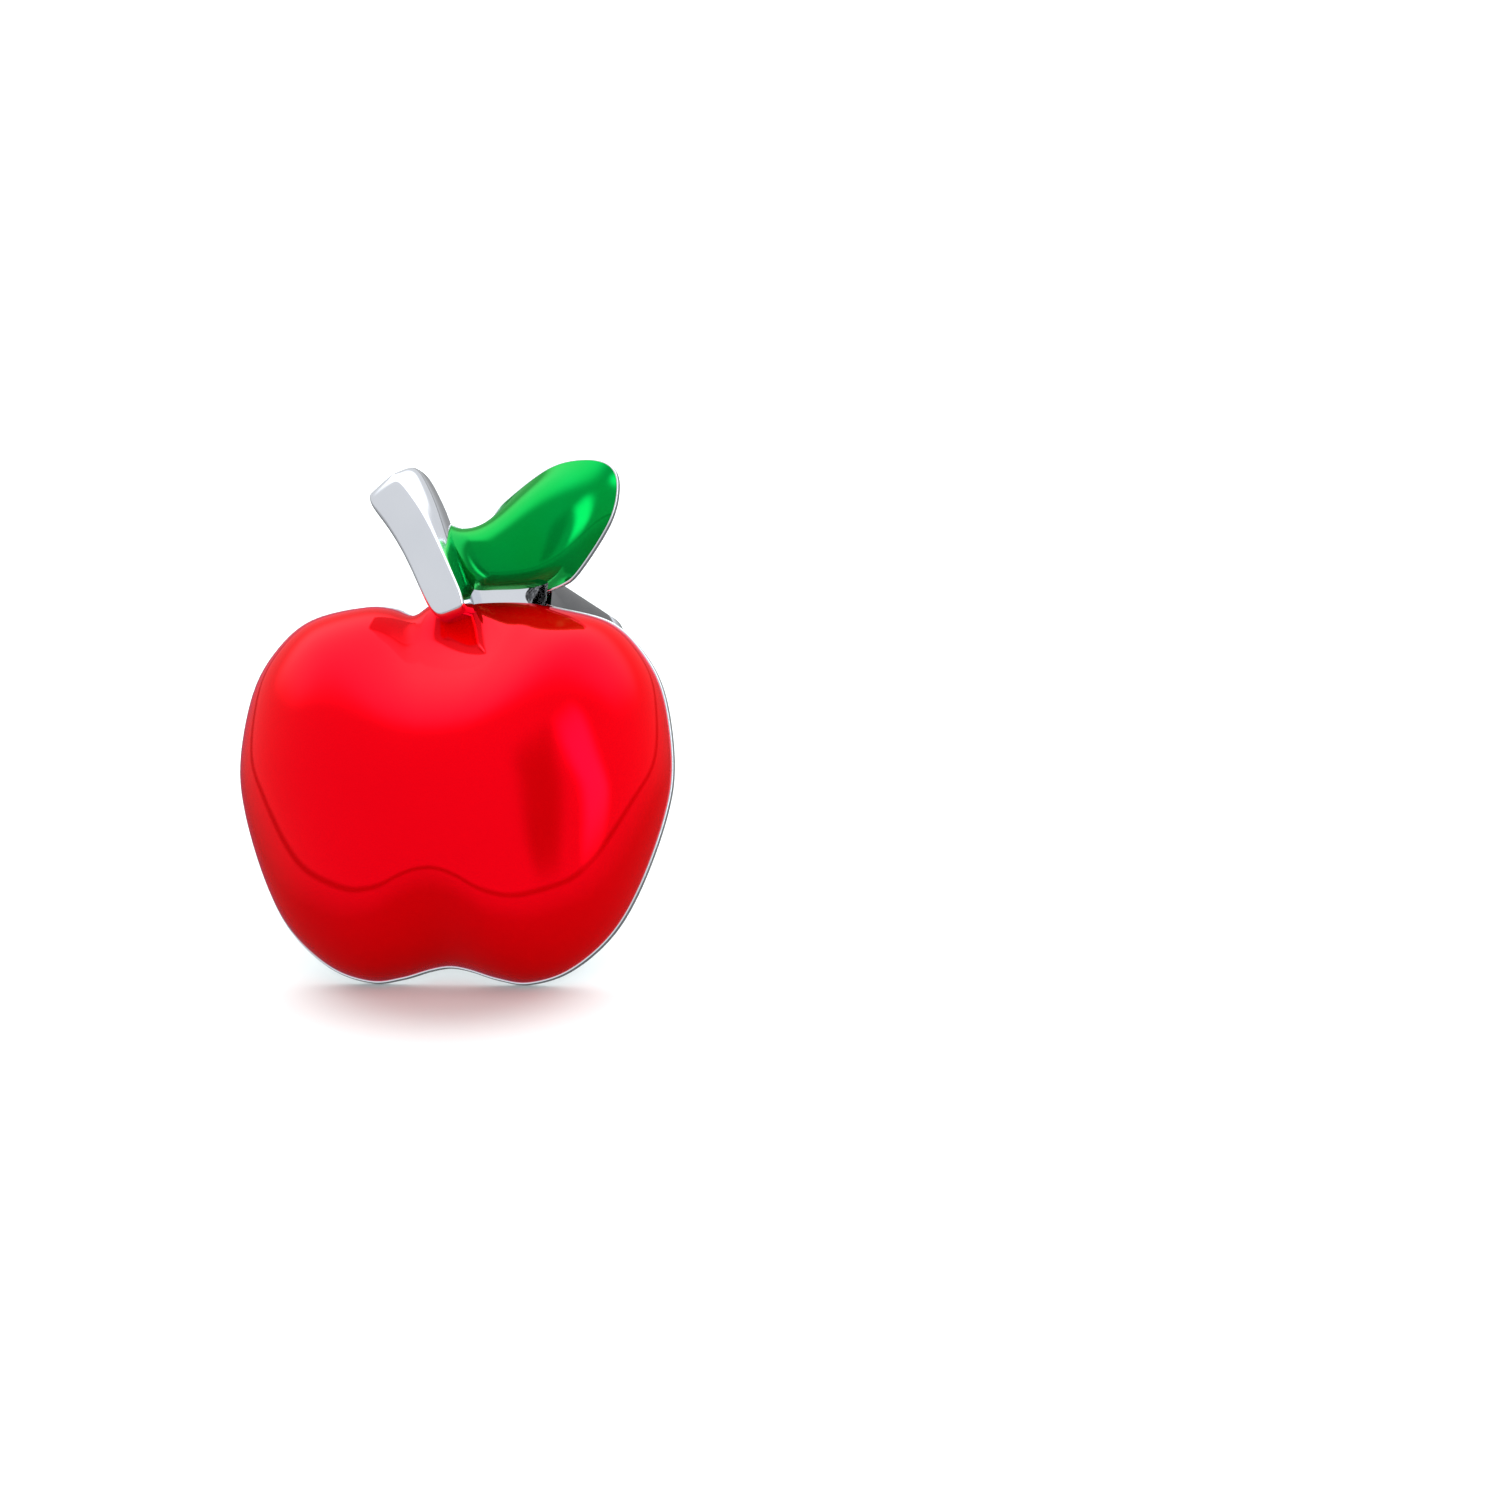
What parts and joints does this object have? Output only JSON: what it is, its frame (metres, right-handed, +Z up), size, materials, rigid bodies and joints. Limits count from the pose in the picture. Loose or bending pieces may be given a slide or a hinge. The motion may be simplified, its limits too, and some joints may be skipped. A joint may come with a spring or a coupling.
{
  "type": "apple stud earring",
  "caption": "Stud earring: a domed red enamel apple with a curved silver stem, a green enamel leaf and an ear post behind.",
  "frame": {"origin": "centre of the bounding box on the surface that the earring lies on", "axes": "+Z up, +Y towards the tip of the ear post, the enamelled face leaning back and looking towards -Y, +X across the face towards the leaf"},
  "size_m": [0.0084, 0.0138, 0.0083],
  "materials": {
    "silver": "polished silver",
    "red_enamel": "gloss",
    "green_enamel": "gloss"
  },
  "bodies": {
    "root": {"silver_casting": "silver", "apple_enamel": "red_enamel", "leaf_enamel": "green_enamel", "ear_post": "silver"}
  },
  "joints": []
}
